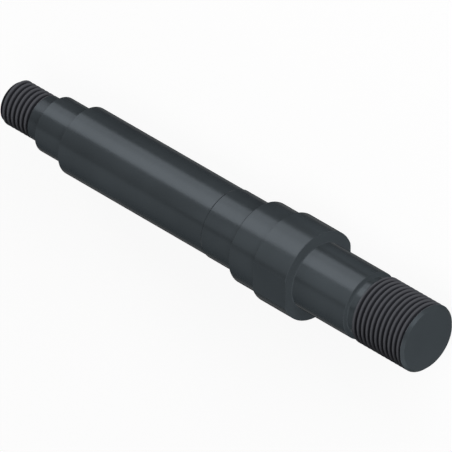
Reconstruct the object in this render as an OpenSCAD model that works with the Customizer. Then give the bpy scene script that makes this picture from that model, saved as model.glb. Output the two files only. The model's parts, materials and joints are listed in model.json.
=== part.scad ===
// Mulcher axle: one turned steel shaft, lying along X.
// The origin is on the centre line, in the face that the large bearing seats against.
// +X runs to the large thread (near end), -X to the small thread (far end), +Z is up.
// It lies on one wrench flat of its collar, so the flats face up and down.

/* [Small thread, far end] */
// Outer diameter of the small thread
small_thread_d = 16; // [10:0.5:19]
// Length from the far end face to the small seat, with the plain neck
small_thread_l = 19; // [8:0.5:60]
// Chamfer at the far end face
small_chamfer = 1; // [0.3:0.1:2.5]

/* [Small bearing seat] */
// Diameter of the small bearing seat
small_seat_d = 20; // [19.2:0.1:24]
// Length of the small bearing seat
small_seat_l = 13; // [4:0.5:40]

/* [Body] */
// Diameter of the plain body between the two bearings
body_d = 24.5; // [24.1:0.1:24.9]
// Length of the plain body
body_l = 66; // [10:1:300]

/* [Large bearing seat] */
// Diameter of the large bearing seat
large_seat_d = 25; // [25:0.1:29]
// Length of the large bearing seat
large_seat_l = 15; // [4:0.5:40]

/* [Shoulder] */
// Diameter of the shoulder that the large bearing seats against
shoulder_d = 29.4; // [29.1:0.1:30]
// Length of the shoulder
shoulder_l = 11.7; // [2:0.1:40]

/* [Wrench collar] */
// Diameter of the collar
collar_d = 32; // [31.5:0.5:60]
// Length of the collar, which its two flats run along
collar_l = 14.8; // [5:0.1:40]
// Distance across the two wrench flats
flats_across = 30; // [30:0.5:31]

/* [Journal] */
// Diameter of the plain journal outside the collar
journal_d = 24; // [22:0.5:30]
// Length of the journal, from the collar to the undercut
journal_l = 23.4; // [5:0.1:80]

/* [Undercut] */
// Diameter of the undercut's floor, just under the thread's root
undercut_d = 20.6; // [16:0.1:21]
// Width of the undercut at its mouth
undercut_w = 3.9; // [3:0.1:8]
// Radius in the undercut's two bottom corners
undercut_r = 1; // [0.2:0.1:1.4]

/* [Large thread, near end] */
// Outer diameter of the large thread
large_thread_d = 24; // [22:0.5:30]
// Length of the large thread, from the undercut to the near end face
large_thread_l = 22.7; // [8:0.1:80]
// Chamfer at the near end face
large_chamfer = 1; // [0.3:0.1:2.5]

/* [Edges] */
// Size of the small break on the outer corners of seats, shoulder and collar
edge_break = 0.2; // [0.05:0.05:0.3]

/* [Hidden] */
$fn = 96;

// How far a cutting shape runs past the metal that it cuts
past = 1;
// Satin blackened steel
steel = [0.21, 0.235, 0.247];

// Places along the centre line, counted from the large bearing's shoulder face
shoulder_x = 0;
large_seat_x = shoulder_x - large_seat_l;
body_x = large_seat_x - body_l;
small_seat_x = body_x - small_seat_l;
far_end_x = small_seat_x - small_thread_l;
collar_x = shoulder_x + shoulder_l;
journal_x = collar_x + collar_l;
undercut_x = journal_x + journal_l;
large_thread_x = undercut_x + undercut_w;
near_end_x = large_thread_x + large_thread_l;

// Half section of one turned step, as [radius, place], with a chamfer at each end
module step(from, to, d, far_chamfer = 0, near_chamfer = 0) {
    r = d / 2;
    polygon([
        [0, from],
        [r - far_chamfer, from],
        [r, from + far_chamfer],
        [r, to - near_chamfer],
        [r - near_chamfer, to],
        [0, to]
    ]);
}

// Half section of the undercut: a slot whose two bottom corners are round
module undercut_section() {
    floor_r = undercut_d / 2;
    mouth_r = max(journal_d, large_thread_d) / 2 + past;
    translate([floor_r + undercut_r, undercut_x])
        square([mouth_r - floor_r - undercut_r, undercut_w]);
    translate([floor_r, undercut_x + undercut_r])
        square([mouth_r - floor_r, undercut_w - 2 * undercut_r]);
    for (corner_x = [undercut_x + undercut_r, large_thread_x - undercut_r])
        translate([floor_r + undercut_r, corner_x])
            circle(r = undercut_r);
}

// Half section of the whole shaft, from the far end to the near end
module shaft_section() {
    difference() {
        union() {
            step(far_end_x, small_seat_x, small_thread_d, far_chamfer = small_chamfer);
            step(small_seat_x, body_x, small_seat_d, far_chamfer = edge_break);
            step(body_x, large_seat_x, body_d, far_chamfer = edge_break);
            step(large_seat_x, shoulder_x, large_seat_d, far_chamfer = edge_break);
            step(shoulder_x, collar_x, shoulder_d, far_chamfer = edge_break);
            step(collar_x, journal_x, collar_d, edge_break, edge_break);
            step(journal_x, large_thread_x, journal_d);
            step(large_thread_x, near_end_x, large_thread_d, near_chamfer = large_chamfer);
        }
        undercut_section();
    }
}

// What is milled away above and below the collar to leave its two parallel flats
module flat_cuts() {
    cut_w = collar_d + 2 * past;
    cut_h = collar_d / 2 - flats_across / 2 + past;
    for (side = [-1, 1])
        translate([collar_x, -cut_w / 2, side * (flats_across / 2 + cut_h / 2) - cut_h / 2])
            cube([collar_l, cut_w, cut_h]);
}

module axle() {
    color(steel)
        difference() {
            rotate([0, 90, 0])
                rotate_extrude()
                    shaft_section();
            flat_cuts();
        }
}

axle();
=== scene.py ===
"""Looks of the mulcher axle: one turned, blackened steel shaft with two real screw threads.

The shaft lies along X on one wrench flat of its collar, as in the frame. Its lengths are in
millimetres up to the mesh, which is in metres. The surround and the lamps are in metres.
"""

import json
import math

import bmesh
import bpy
from mathutils import Matrix, Vector


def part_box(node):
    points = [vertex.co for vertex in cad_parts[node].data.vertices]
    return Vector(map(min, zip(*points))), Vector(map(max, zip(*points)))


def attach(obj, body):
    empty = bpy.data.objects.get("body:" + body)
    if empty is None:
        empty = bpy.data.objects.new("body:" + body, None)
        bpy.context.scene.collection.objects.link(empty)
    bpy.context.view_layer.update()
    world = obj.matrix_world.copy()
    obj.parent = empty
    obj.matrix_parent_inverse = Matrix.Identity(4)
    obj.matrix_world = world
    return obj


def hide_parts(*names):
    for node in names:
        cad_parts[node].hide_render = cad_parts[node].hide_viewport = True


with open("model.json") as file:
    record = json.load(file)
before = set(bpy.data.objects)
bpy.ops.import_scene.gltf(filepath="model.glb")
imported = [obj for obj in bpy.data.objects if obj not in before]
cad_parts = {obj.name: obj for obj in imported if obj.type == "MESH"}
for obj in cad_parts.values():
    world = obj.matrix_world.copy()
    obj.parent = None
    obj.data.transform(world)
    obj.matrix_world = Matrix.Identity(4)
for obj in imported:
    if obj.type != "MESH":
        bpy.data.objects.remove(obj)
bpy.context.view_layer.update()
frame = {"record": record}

MM = 0.001

# What the frame gives: both ends, the collar's half height and radius, and the mounts
box_low, box_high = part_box("axle")
FAR_END = box_low.x / MM
NEAR_END = box_high.x / MM
FLAT_Z = box_high.z / MM
COLLAR_R = box_high.y / MM
MOUNTS = {mount["name"]: mount for mount in frame["record"]["mounts"]}

# Radii of the turned steps
SMALL_THREAD_R = MOUNTS["small_thread"]["dims"]["r_mm"]
SMALL_SEAT_R = MOUNTS["small_bearing_seat"]["dims"]["r_mm"]
BODY_R = 12.25
LARGE_SEAT_R = MOUNTS["large_bearing_seat"]["dims"]["r_mm"]
SHOULDER_R = 14.7
JOURNAL_R = MOUNTS["journal"]["dims"]["r_mm"]
UNDERCUT_R = 10.3
LARGE_THREAD_R = MOUNTS["large_thread"]["dims"]["r_mm"]

# Where each step starts along the centre line
BODY_X = MOUNTS["small_bearing_shoulder"]["pos_m"][0] / MM
SHOULDER_X = MOUNTS["large_bearing_shoulder"]["pos_m"][0] / MM
JOURNAL_X = MOUNTS["collar_face"]["pos_m"][0] / MM
SMALL_SEAT_X = BODY_X - 13.0
LARGE_SEAT_X = SHOULDER_X - 15.0
COLLAR_X = JOURNAL_X - 14.8
UNDERCUT_X = JOURNAL_X + 23.4
LARGE_THREAD_X = UNDERCUT_X + 3.9

# Small radii: broken outer corners, the tool's nose in inner corners, and the undercut's corners
COLLAR_EDGE_R = 0.22
SHOULDER_EDGE_R = 0.4
STEP_EDGE_R = 0.12
NOSE_R = 0.3
UNDERCUT_FAR_R = 0.4
UNDERCUT_NEAR_R = 1.0
# Length of the cone that leads a bearing from the body up onto the large seat
SEAT_LEAD = 0.52

# Both threads: 2 mm pitch, 60 degree form with a round root
PITCH = 2.0
CREST_HALF = PITCH / 16
FLANK_END = PITCH / 2 - CREST_HALF
ROOT_R = 0.1443 * PITCH
ROOT_END = ROOT_R * math.cos(math.radians(30))
FLANK_TAN = math.sqrt(3)
SHARP_DEPTH = FLANK_END * FLANK_TAN
THREAD_DEPTH = SHARP_DEPTH - ROOT_R
FLANK_ROWS = 4
ROOT_TURNS = range(-60, 61, 15)
# How fast a groove fades out towards its end, as depth over length
RUN_OUT_SLOPE = 1.7
SMALL_RUN_OUT_X = -99.35
# How much of a thread root's look, painted shade colour and duller gloss, the plain neck beside
# the small thread has
NECK_SHARE = 0.12
CHAMFER = 1.0
SMALL_CHAMFER_X = FAR_END + CHAMFER
LARGE_CHAMFER_X = NEAR_END - CHAMFER
# Where a groove's bottom crosses the line that faces the photo's camera
SMALL_GROOVE_X = -100.3
LARGE_GROOVE_X = 54.75
CAMERA_SIDE = math.radians(45)

# The mesh: columns round the shaft, arcs, the support rows beside them, and an end face's rows
SEGMENTS = 144
ARC_STEP = math.radians(15)
SUPPORT = 0.06
FACE_SHARES = (0.98, 0.6, 0.3, 0.0)
# Points this close are one, edges this short go, and edges this steep stay sharp
MERGE_DISTANCE = 0.002 * MM
SHORTEST_EDGE = 0.0005 * MM
SHARP_ANGLE = math.radians(18)


def rounded(corners):
    """Outline through (x, r, corner radius) points, each corner turned into a short arc.

    A support point beside each arc keeps the smooth shading of the straight parts flat.
    """
    outline = [corners[0][:2]]
    for before, corner, after in zip(corners, corners[1:], corners[2:]):
        here = Vector(corner[:2])
        to_before = (Vector(before[:2]) - here).normalized()
        to_after = (Vector(after[:2]) - here).normalized()
        radius = corner[2]
        if radius == 0:
            outline.append(tuple(here))
            continue
        outline.append(tuple(here + to_before * (radius + SUPPORT)))
        centre = here + (to_before + to_after) * radius
        steps = round(math.pi / 2 / ARC_STEP)
        for step in range(steps + 1):
            turn = math.pi / 2 * step / steps
            along_after = to_after * radius * math.cos(turn)
            along_before = to_before * radius * math.sin(turn)
            outline.append(tuple(centre - along_after - along_before))
        outline.append(tuple(here + to_after * (radius + SUPPORT)))
    outline.append(corners[-1][:2])
    return outline


def plain_outline():
    """Outline between the two threads, from the far neck to the undercut's near wall."""
    return rounded([
        (SMALL_RUN_OUT_X, SMALL_THREAD_R, 0),
        (SMALL_SEAT_X, SMALL_THREAD_R, NOSE_R),
        (SMALL_SEAT_X, SMALL_SEAT_R, STEP_EDGE_R),
        (BODY_X, SMALL_SEAT_R, NOSE_R),
        (BODY_X, BODY_R, STEP_EDGE_R),
        (LARGE_SEAT_X, BODY_R, 0),
        (LARGE_SEAT_X + SEAT_LEAD, LARGE_SEAT_R, 0),
        (SHOULDER_X, LARGE_SEAT_R, NOSE_R),
        (SHOULDER_X, SHOULDER_R, SHOULDER_EDGE_R),
        (COLLAR_X, SHOULDER_R, NOSE_R),
        (COLLAR_X, COLLAR_R, STEP_EDGE_R),
        (JOURNAL_X, COLLAR_R, COLLAR_EDGE_R),
        (JOURNAL_X, JOURNAL_R, NOSE_R),
        (UNDERCUT_X, JOURNAL_R, STEP_EDGE_R),
        (UNDERCUT_X, UNDERCUT_R, UNDERCUT_FAR_R),
        (LARGE_THREAD_X, UNDERCUT_R, UNDERCUT_NEAR_R),
        (LARGE_THREAD_X, LARGE_THREAD_R, 0),
    ])


def column_angles():
    """Angles of the mesh's columns: even steps, with the nearest moved onto the flats' edges."""
    angles = [2 * math.pi * i / SEGMENTS for i in range(SEGMENTS + 1)]
    edge = math.asin(FLAT_Z / COLLAR_R)
    for target in (edge, math.pi - edge, math.pi + edge, 2 * math.pi - edge):
        nearest = min(range(len(angles)), key=lambda i: abs(angles[i] - target))
        angles[nearest] = target
    return angles


def groove_depth(offset):
    """Depth of the thread's groove at a distance along the shaft from the groove's bottom."""
    away = abs(offset)
    if away >= FLANK_END:
        return 0.0
    if away >= ROOT_END:
        return (FLANK_END - away) * FLANK_TAN
    return SHARP_DEPTH - 2 * ROOT_R + math.sqrt(ROOT_R ** 2 - away ** 2)


def thread_offsets():
    """Row places over one pitch, from the middle of a crest: crest, flank, round root, flank."""
    flank = [FLANK_END + (ROOT_END - FLANK_END) * i / FLANK_ROWS for i in range(FLANK_ROWS)]
    root = [ROOT_R * math.sin(math.radians(turn)) for turn in ROOT_TURNS]
    return [-PITCH / 2] + [-f for f in flank] + root + flank[::-1]


def threaded_column(angle, start, end, radius, groove_x, groove_ends, chamfer_x):
    """(x, r, depth, threaded) points of one column of a threaded stretch between start and end.

    The groove fades out towards its two ends. The rows climb with the helix, so the crests' edges
    stay crisp. Those that climb past an end are held there and merge.
    """
    climb = PITCH * (angle - CAMERA_SIDE) / (2 * math.pi)
    first = math.floor((start - groove_x) / PITCH) - 1
    last = math.ceil((end - groove_x) / PITCH) + 1
    outwards = 1 if chamfer_x > groove_x else -1
    points = []
    for turn in range(first, last + 1):
        for offset in thread_offsets():
            x = min(max(groove_x + climb + turn * PITCH + offset, start), end)
            phase = (x - groove_x - climb + PITCH / 2) % PITCH - PITCH / 2
            room = min(x - groove_ends[0], groove_ends[1] - x)
            depth = min(groove_depth(phase), max(0.0, room * RUN_OUT_SLOPE))
            beyond = outwards * (x - chamfer_x)
            cone = radius - max(0.0, beyond)
            threaded = room > 0 and (beyond <= 0 or radius - depth < cone)
            points.append((x, min(radius - depth, cone), depth, float(threaded)))
    return points


def with_cap(points, far):
    """Adds the end face to a column: rows from its edge in to the centre line."""
    edge_x, edge_r = (points[0] if far else points[-1])[:2]
    face = [(edge_x, edge_r * share, 0.0, 0.0) for share in FACE_SHARES]
    return face[::-1] + points if far else points + face


def far_thread(angle):
    """Column of the small thread, with the far end face."""
    points = threaded_column(
        angle, FAR_END, SMALL_RUN_OUT_X, SMALL_THREAD_R,
        SMALL_GROOVE_X, (FAR_END - PITCH, SMALL_RUN_OUT_X), SMALL_CHAMFER_X)
    return with_cap(points, far=True)


def near_thread(angle):
    """Column of the large thread, with the near end face."""
    points = threaded_column(
        angle, LARGE_THREAD_X, NEAR_END, LARGE_THREAD_R,
        LARGE_GROOVE_X, (LARGE_THREAD_X, LARGE_CHAMFER_X), LARGE_CHAMFER_X)
    return with_cap(points, far=False)


def add_stretch(mesh, layers, column):
    """Adds one stretch of the shaft to the mesh, column by column round the centre line."""
    groove, thread, feed = layers
    previous = None
    for angle in column_angles():
        rows = []
        travelled = 0.0
        last = None
        for x, r, depth, threaded in column(angle):
            r = min(r, FLAT_Z / max(abs(math.sin(angle)), 1e-9))
            vertex = mesh.verts.new(Vector((x, r * math.cos(angle), r * math.sin(angle))) * MM)
            if last:
                travelled += math.hypot(x - last[0], r - last[1])
            last = (x, r)
            vertex[groove] = depth / THREAD_DEPTH
            vertex[thread] = threaded
            vertex[feed] = travelled
            rows.append(vertex)
        if previous:
            for a, b, c, d in zip(previous, previous[1:], rows[1:], rows):
                mesh.faces.new((a, d, c, b))
        previous = rows


def darken_and_dull_neck(mesh, groove, thread):
    """Gives the plain neck between the small thread and its seat some of a thread root's look.

    That is a share of the roots' painted shade colour, less metal and more roughness.
    """
    start = (SMALL_RUN_OUT_X - SUPPORT / 2) * MM
    end = (SMALL_SEAT_X - NOSE_R - SUPPORT / 2) * MM
    for vertex in mesh.verts:
        if start < vertex.co.x < end:
            # Painted shade: the root colour's share darkens the neck
            vertex[groove] = 1.0
            vertex[thread] = NECK_SHARE


def shaft_mesh():
    """The whole shaft as one closed mesh with its threads, in metres."""
    mesh = bmesh.new()
    layers = [mesh.verts.layers.float.new(name) for name in ("groove", "thread", "feed")]
    outline = [(x, r, 0.0, 0.0) for x, r in plain_outline()]
    add_stretch(mesh, layers, far_thread)
    add_stretch(mesh, layers, lambda angle: outline)
    add_stretch(mesh, layers, near_thread)
    bmesh.ops.remove_doubles(mesh, verts=mesh.verts, dist=MERGE_DISTANCE)
    bmesh.ops.dissolve_degenerate(mesh, edges=mesh.edges, dist=SHORTEST_EDGE)
    bmesh.ops.recalc_face_normals(mesh, faces=mesh.faces)
    darken_and_dull_neck(mesh, *layers[:2])
    data = bpy.data.meshes.new("axle_turned")
    mesh.to_mesh(data)
    mesh.free()
    for polygon in data.polygons:
        polygon.use_smooth = True
    data.set_sharp_from_angle(angle=SHARP_ANGLE)
    return data


def node(tree, kind, inputs=None, **settings):
    """Adds a shader node with its properties. Inputs are plain values or other nodes' outputs."""
    made = tree.nodes.new(kind)
    for name, value in settings.items():
        setattr(made, name, value)
    for name, value in (inputs or {}).items():
        if isinstance(value, bpy.types.NodeSocket):
            tree.links.new(value, made.inputs[name])
        else:
            made.inputs[name].default_value = value
    return made


def new_material(name):
    """An empty node material and its tree."""
    material = bpy.data.materials.new(name)
    material.use_nodes = True
    material.node_tree.nodes.clear()
    return material, material.node_tree


def maths(tree, operation, a, b=0.0):
    """Output of a Math node."""
    return node(tree, "ShaderNodeMath", {0: a, 1: b}, operation=operation).outputs[0]


def ramp(tree, value, from_low, from_high, to_low, to_high):
    """Output that goes from to_low to to_high as value goes from from_low to from_high."""
    made = node(tree, "ShaderNodeMapRange", {
        "Value": value,
        "From Min": from_low, "From Max": from_high,
        "To Min": to_low, "To Max": to_high,
    })
    return made.outputs["Result"]


def attribute(tree, name):
    """Output of a number stored on the mesh's points."""
    return node(tree, "ShaderNodeAttribute", attribute_name=name).outputs["Fac"]


def noise(tree, scale, vector=None, detail=3.0, dimensions="3D", w=None):
    """Output of a noise texture, from 0 to 1 around a half."""
    inputs = {"Scale": scale, "Detail": detail}
    if vector is not None:
        inputs["Vector"] = vector
    if w is not None:
        inputs["W"] = w
    return node(tree, "ShaderNodeTexNoise", inputs, noise_dimensions=dimensions).outputs["Fac"]


# The inputs and the output of a Mix node, for numbers and for colours
MIX_SOCKETS = {"FLOAT": (2, 3, 0), "RGBA": (6, 7, 2)}


def mix(tree, kind, factor, first, second):
    """Output that goes from first to second with factor, for numbers or for colours."""
    first_socket, second_socket, result = MIX_SOCKETS[kind]
    made = node(tree, "ShaderNodeMix", {
        "Factor": factor, first_socket: first, second_socket: second}, data_type=kind)
    return made.outputs[result]


# The steel's colours: plain surfaces, and the threads' crests and roots.
# The pale crest colour is painted light, the dark root colour painted shade
PLAIN_STEEL = (0.0385, 0.0455, 0.0505)
THREAD_CREST = (0.086, 0.088, 0.098, 1.0)
THREAD_ROOT = (0.024, 0.025, 0.03, 1.0)
# Depth, as a share of the groove's, over which the crest's painted light turns into the root's
# painted shade
CREST_SHARE = 0.25
ROOT_SHARE = 0.6
# Share of metal in the plain steel, and the grazing levels between which it fades out
METAL_SHARE = 0.5
GRAZING_START = 0.78
GRAZING_END = 0.9
# Roughness: the plain steel's least and most, and the threads'
SMOOTHEST = 0.21
ROUGHEST = 0.25
THREAD_ROUGHNESS = 0.55
# Scales of the cloudy shade, the turned rings and the fine turning marks
CLOUD_SCALE = 45.0
RING_SCALE = 2.6
MARK_SCALE = 9.0


def uneven(tree, pattern, low, high):
    """Output from low to high with a noise pattern."""
    return ramp(tree, pattern, 0.3, 0.7, low, high)


def steel_material():
    """Blackened steel: satin, finely turned, with painted light on the threads' crests and painted
    shade in their roots.

    Its gloss fades out where the surface is seen at a grazing angle.
    """
    material, tree = new_material("blackened_steel_turned")
    place = node(tree, "ShaderNodeTexCoord").outputs["Object"]
    groove = attribute(tree, "groove")
    thread = attribute(tree, "thread")
    feed = attribute(tree, "feed")

    cloud = noise(tree, CLOUD_SCALE, vector=place, detail=4.0)
    rings = noise(tree, RING_SCALE, w=feed, detail=2.0, dimensions="1D")
    cloudy = uneven(tree, cloud, 0.93, 1.07)
    ringed = uneven(tree, rings, 0.97, 1.03)
    shade = maths(tree, "MULTIPLY", cloudy, ringed)
    plain = node(tree, "ShaderNodeVectorMath", {
        0: PLAIN_STEEL, "Scale": shade}, operation="SCALE").outputs[0]
    # Painted light and shade in the threads: the pale crest colour on top, the dark root colour in
    # the grooves
    depth = ramp(tree, groove, CREST_SHARE, ROOT_SHARE, 0.0, 1.0)
    thread_light_and_shade = mix(tree, "RGBA", depth, THREAD_CREST, THREAD_ROOT)
    colour = mix(tree, "RGBA", thread, plain, thread_light_and_shade)

    satin = uneven(tree, cloud, SMOOTHEST, ROUGHEST)
    roughness = mix(tree, "FLOAT", thread, satin, THREAD_ROUGHNESS)

    marks = noise(tree, MARK_SCALE, w=feed, detail=2.0, dimensions="1D")
    turned = node(tree, "ShaderNodeBump", {
        "Strength": 0.25, "Distance": 0.01 * MM, "Height": marks}).outputs["Normal"]

    grazing = node(tree, "ShaderNodeLayerWeight", {"Blend": 0.5}).outputs["Facing"]
    metal = ramp(tree, grazing, GRAZING_START, GRAZING_END, METAL_SHARE, 0.0)

    shader = node(tree, "ShaderNodeBsdfPrincipled", {
        "Base Color": colour,
        "Metallic": ramp(tree, thread, 0.0, 1.0, metal, 0.0),
        "Roughness": roughness,
        "Specular IOR Level": 0.0,
        "Specular Tint": (0.45, 0.45, 0.45, 1.0),
        "Normal": turned,
    })
    output = node(tree, "ShaderNodeOutputMaterial")
    tree.links.new(shader.outputs[0], output.inputs[0])
    return material


def make_shaft():
    """The dressed shaft, in place of the plain node."""
    shaft = bpy.data.objects.new("axle_turned", shaft_mesh())
    bpy.context.scene.collection.objects.link(shaft)
    shaft.data.materials.append(steel_material())
    shaft.visible_glossy = False
    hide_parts("axle")
    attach(shaft, "root")


def seen_directly(tree):
    """1 for camera, glossy and transmission rays, and 0 for the others."""
    path = node(tree, "ShaderNodeLightPath").outputs
    seen = maths(tree, "ADD", path["Is Camera Ray"], path["Is Glossy Ray"])
    seen = maths(tree, "ADD", seen, path["Is Transmission Ray"])
    return maths(tree, "MINIMUM", seen, 1.0)


FULL_WHITE = (1.0, 1.0, 1.0, 1.0)

# Level of the white surround: as seen, and as light on matt surfaces
SEEN_LEVEL = 1.0
MATT_LEVEL = 0.1

# The surround as metal mirrors it, by the angle over the shaft from the side softbox's side:
# it dims up to a seam overhead, and the cloth beyond the seam is lighter
SIDE_LEVEL = 1.25
SIDE_END = math.radians(50)
SEAM_LEVEL = 0.82
SEAM_START = math.radians(88)
SEAM_END = math.radians(96)
FAR_LEVEL = 1.54
# How much lighter the cloths are in front of the shaft's near end than behind its far end
NEAR_GAIN = 1.3

# The floor: how pale it is to light and to the eye, what the eye adds to keep it white, and how
# much of the surround it mirrors into the steel
FLOOR_SIZE = 8.0
FLOOR_PALE = 0.5
FLOOR_SEEN_PALE = 0.2
FLOOR_LIFT = 0.9
FLOOR_POLISH = (0.82, 0.82, 0.82, 1.0)


def tent_level(tree):
    """Level of the surround that metal mirrors, by the angle over the shaft and along it."""
    direction = node(tree, "ShaderNodeTexCoord").outputs["Generated"]
    parts = node(tree, "ShaderNodeSeparateXYZ", {0: direction}).outputs
    over = maths(tree, "ARCTAN2", parts["Z"], parts["Y"])
    side = ramp(tree, over, SIDE_END, SEAM_START, SIDE_LEVEL, SEAM_LEVEL)
    round_shaft = ramp(tree, over, SEAM_START, SEAM_END, side, FAR_LEVEL)
    along = ramp(tree, parts["X"], -0.5, 0.5, 1.0, NEAR_GAIN)
    return maths(tree, "MULTIPLY", round_shaft, along)


def make_world():
    """A white surround: even to the eye, and a tent of two cloths to metal."""
    world = bpy.data.worlds.new("surround")
    bpy.context.scene.world = world
    world.use_nodes = True
    world.cycles.sampling_method = "NONE"
    tree = world.node_tree
    tree.nodes.clear()
    glossy = node(tree, "ShaderNodeLightPath").outputs["Is Glossy Ray"]
    seen = ramp(tree, glossy, 0.0, 1.0, SEEN_LEVEL, tent_level(tree))
    strength = ramp(tree, seen_directly(tree), 0.0, 1.0, MATT_LEVEL, seen)
    background = node(tree, "ShaderNodeBackground", {"Color": FULL_WHITE, "Strength": strength})
    output = node(tree, "ShaderNodeOutputWorld")
    tree.links.new(background.outputs[0], output.inputs[0])


def floor_material():
    """Polished white table: matt white with its shadow to the camera, a mirror to the steel."""
    material, tree = new_material("floor_white")
    glossy = node(tree, "ShaderNodeLightPath").outputs["Is Glossy Ray"]
    seen = seen_directly(tree)
    pale = ramp(tree, seen, 0.0, 1.0, FLOOR_PALE, FLOOR_SEEN_PALE)
    matt = node(tree, "ShaderNodeBsdfDiffuse", {"Color": pale}).outputs[0]
    lifted = maths(tree, "MULTIPLY", seen, FLOOR_LIFT)
    lift = node(tree, "ShaderNodeEmission", {"Strength": lifted}).outputs[0]
    lit = node(tree, "ShaderNodeAddShader", {0: matt, 1: lift}).outputs[0]
    polish = node(tree, "ShaderNodeBsdfGlossy", {
        "Color": FLOOR_POLISH, "Roughness": 0.0}).outputs[0]
    shader = node(tree, "ShaderNodeMixShader", {0: glossy, 1: lit, 2: polish}).outputs[0]
    output = node(tree, "ShaderNodeOutputMaterial")
    tree.links.new(shader, output.inputs[0])
    return material


def make_floor():
    """A plain white floor just under the flat that the shaft lies on."""
    mesh = bpy.data.meshes.new("floor")
    half = FLOOR_SIZE / 2
    corners = [(-half, -half, 0), (half, -half, 0), (half, half, 0), (-half, half, 0)]
    mesh.from_pydata(corners, [], [(0, 1, 2, 3)])
    floor = bpy.data.objects.new("floor", mesh)
    floor.location.z = box_low.z
    bpy.context.scene.collection.objects.link(floor)
    mesh.materials.append(floor_material())


WHITE = FULL_WHITE[:3]
WARM = (1.0, 0.945, 0.94)
# Between the ray depths at which the steel sees a lamp straight, 2, and by way of the floor, 3
STRAIGHT_DEPTH = 2.5


def hide_from_floor(lamp):
    """Keeps a lamp out of what the steel sees mirrored in the floor, which is a bounce further."""
    lamp.use_nodes = True
    tree = lamp.node_tree
    tree.nodes.clear()
    bounces = node(tree, "ShaderNodeLightPath").outputs["Ray Depth"]
    straight = maths(tree, "LESS_THAN", bounces, STRAIGHT_DEPTH)
    emission = node(tree, "ShaderNodeEmission", {"Color": FULL_WHITE, "Strength": straight})
    output = node(tree, "ShaderNodeOutputLight")
    tree.links.new(emission.outputs[0], output.inputs[0])


def softbox(
        name, centre, facing, width, height, radiance,
        tint=WHITE, mirrored=True, lights=True, in_floor=True):
    """A rectangular lamp of even radiance that faces along facing.

    It can be hidden from the metal's mirroring, from matt surfaces, or from the floor's mirroring.
    """
    lamp = bpy.data.lights.new(name, "AREA")
    lamp.shape = "RECTANGLE"
    lamp.size = width
    lamp.size_y = height
    lamp.energy = radiance * math.pi * width * height
    lamp.color = tint
    box = bpy.data.objects.new(name, lamp)
    box.location = centre
    box.rotation_mode = "QUATERNION"
    box.rotation_quaternion = Vector(facing).to_track_quat("-Z", "Y")
    box.visible_camera = False
    box.visible_glossy = mirrored
    box.visible_diffuse = lights
    if not in_floor:
        hide_from_floor(lamp)
    bpy.context.scene.collection.objects.link(box)


def make_lamps():
    """Softboxes beside, behind and over the shaft, and the key light.

    The one beside it is mirrored in it as the long highlight, straight and by way of the floor.
    Its top strip is left out of the floor, which sets the highlight's upper edge. Two more are
    only mirrored: the near one gives the chamfers and fillets their bright spots, and the card
    over the near half lifts the tone between highlight and seam.
    """
    floor_z = box_low.z
    low_z = floor_z + 0.25
    side_height = 0.5
    top_height = 0.16
    strip_z = floor_z + side_height + top_height / 2
    softbox(
        "side_softbox", (-0.78, 1.0, floor_z + side_height / 2), facing=(0, -1, 0),
        width=0.6, height=side_height, radiance=4.0, tint=WARM)
    softbox(
        "side_softbox_top", (-0.78, 1.0, strip_z), facing=(0, -1, 0),
        width=0.6, height=top_height, radiance=4.0, tint=WARM, in_floor=False)
    softbox(
        "back_softbox", (0.4, -1.0, low_z), facing=(-0.4, 1.0, 0),
        width=0.9, height=0.5, radiance=0.6)
    softbox(
        "top_softbox", (0.35, 0.0, 1.0), facing=(0, 0, -1),
        width=1.15, height=1.0, radiance=0.4)
    softbox(
        "near_softbox", (1.06, 0.92, low_z), facing=(-1.06, -0.92, 0),
        width=0.6, height=0.5, radiance=1.5, lights=False)
    softbox(
        "card", (0.005, 0.084, 0.1), facing=(0, 0, -1),
        width=0.19, height=0.128, radiance=0.78, lights=False)
    softbox(
        "key_softbox", (1.5, 1.6, 0.45), facing=(-1.5, -1.6, -0.45),
        width=2.2, height=0.9, radiance=7.6, mirrored=False)


def make_camera():
    """The photo's view: along the diagonal of a cube with its edges along X, Y and Z, Y upright.

    The photo is a parallel view, so the lens is as long as the views' clipping allows. A slight
    roll lays both outlines evenly on the photo's.
    """
    lens = 1700.0
    photo_width_mm = 146.73
    target = Vector((-15.36, -1.031, 0.251)) * MM
    roll = math.radians(0.045)
    back = Vector((1, 1, 1)).normalized()
    upright = Vector((0, 1, 0))
    up = Matrix.Rotation(roll, 3, back) @ (upright - upright.dot(back) * back).normalized()
    data = bpy.data.cameras.new("photo_view")
    data.lens = lens
    distance = photo_width_mm * lens / data.sensor_width * MM
    camera = bpy.data.objects.new("photo_view", data)
    bpy.context.scene.collection.objects.link(camera)
    turn = Matrix((up.cross(back), up, back)).transposed()
    camera.matrix_world = Matrix.Translation(target + back * distance) @ turn.to_4x4()
    data.clip_start = distance / 2
    data.clip_end = distance * 2
    bpy.context.scene.camera = camera


make_camera()
make_shaft()
make_world()
make_floor()
make_lamps()
bpy.context.scene.view_settings.view_transform = "Standard"
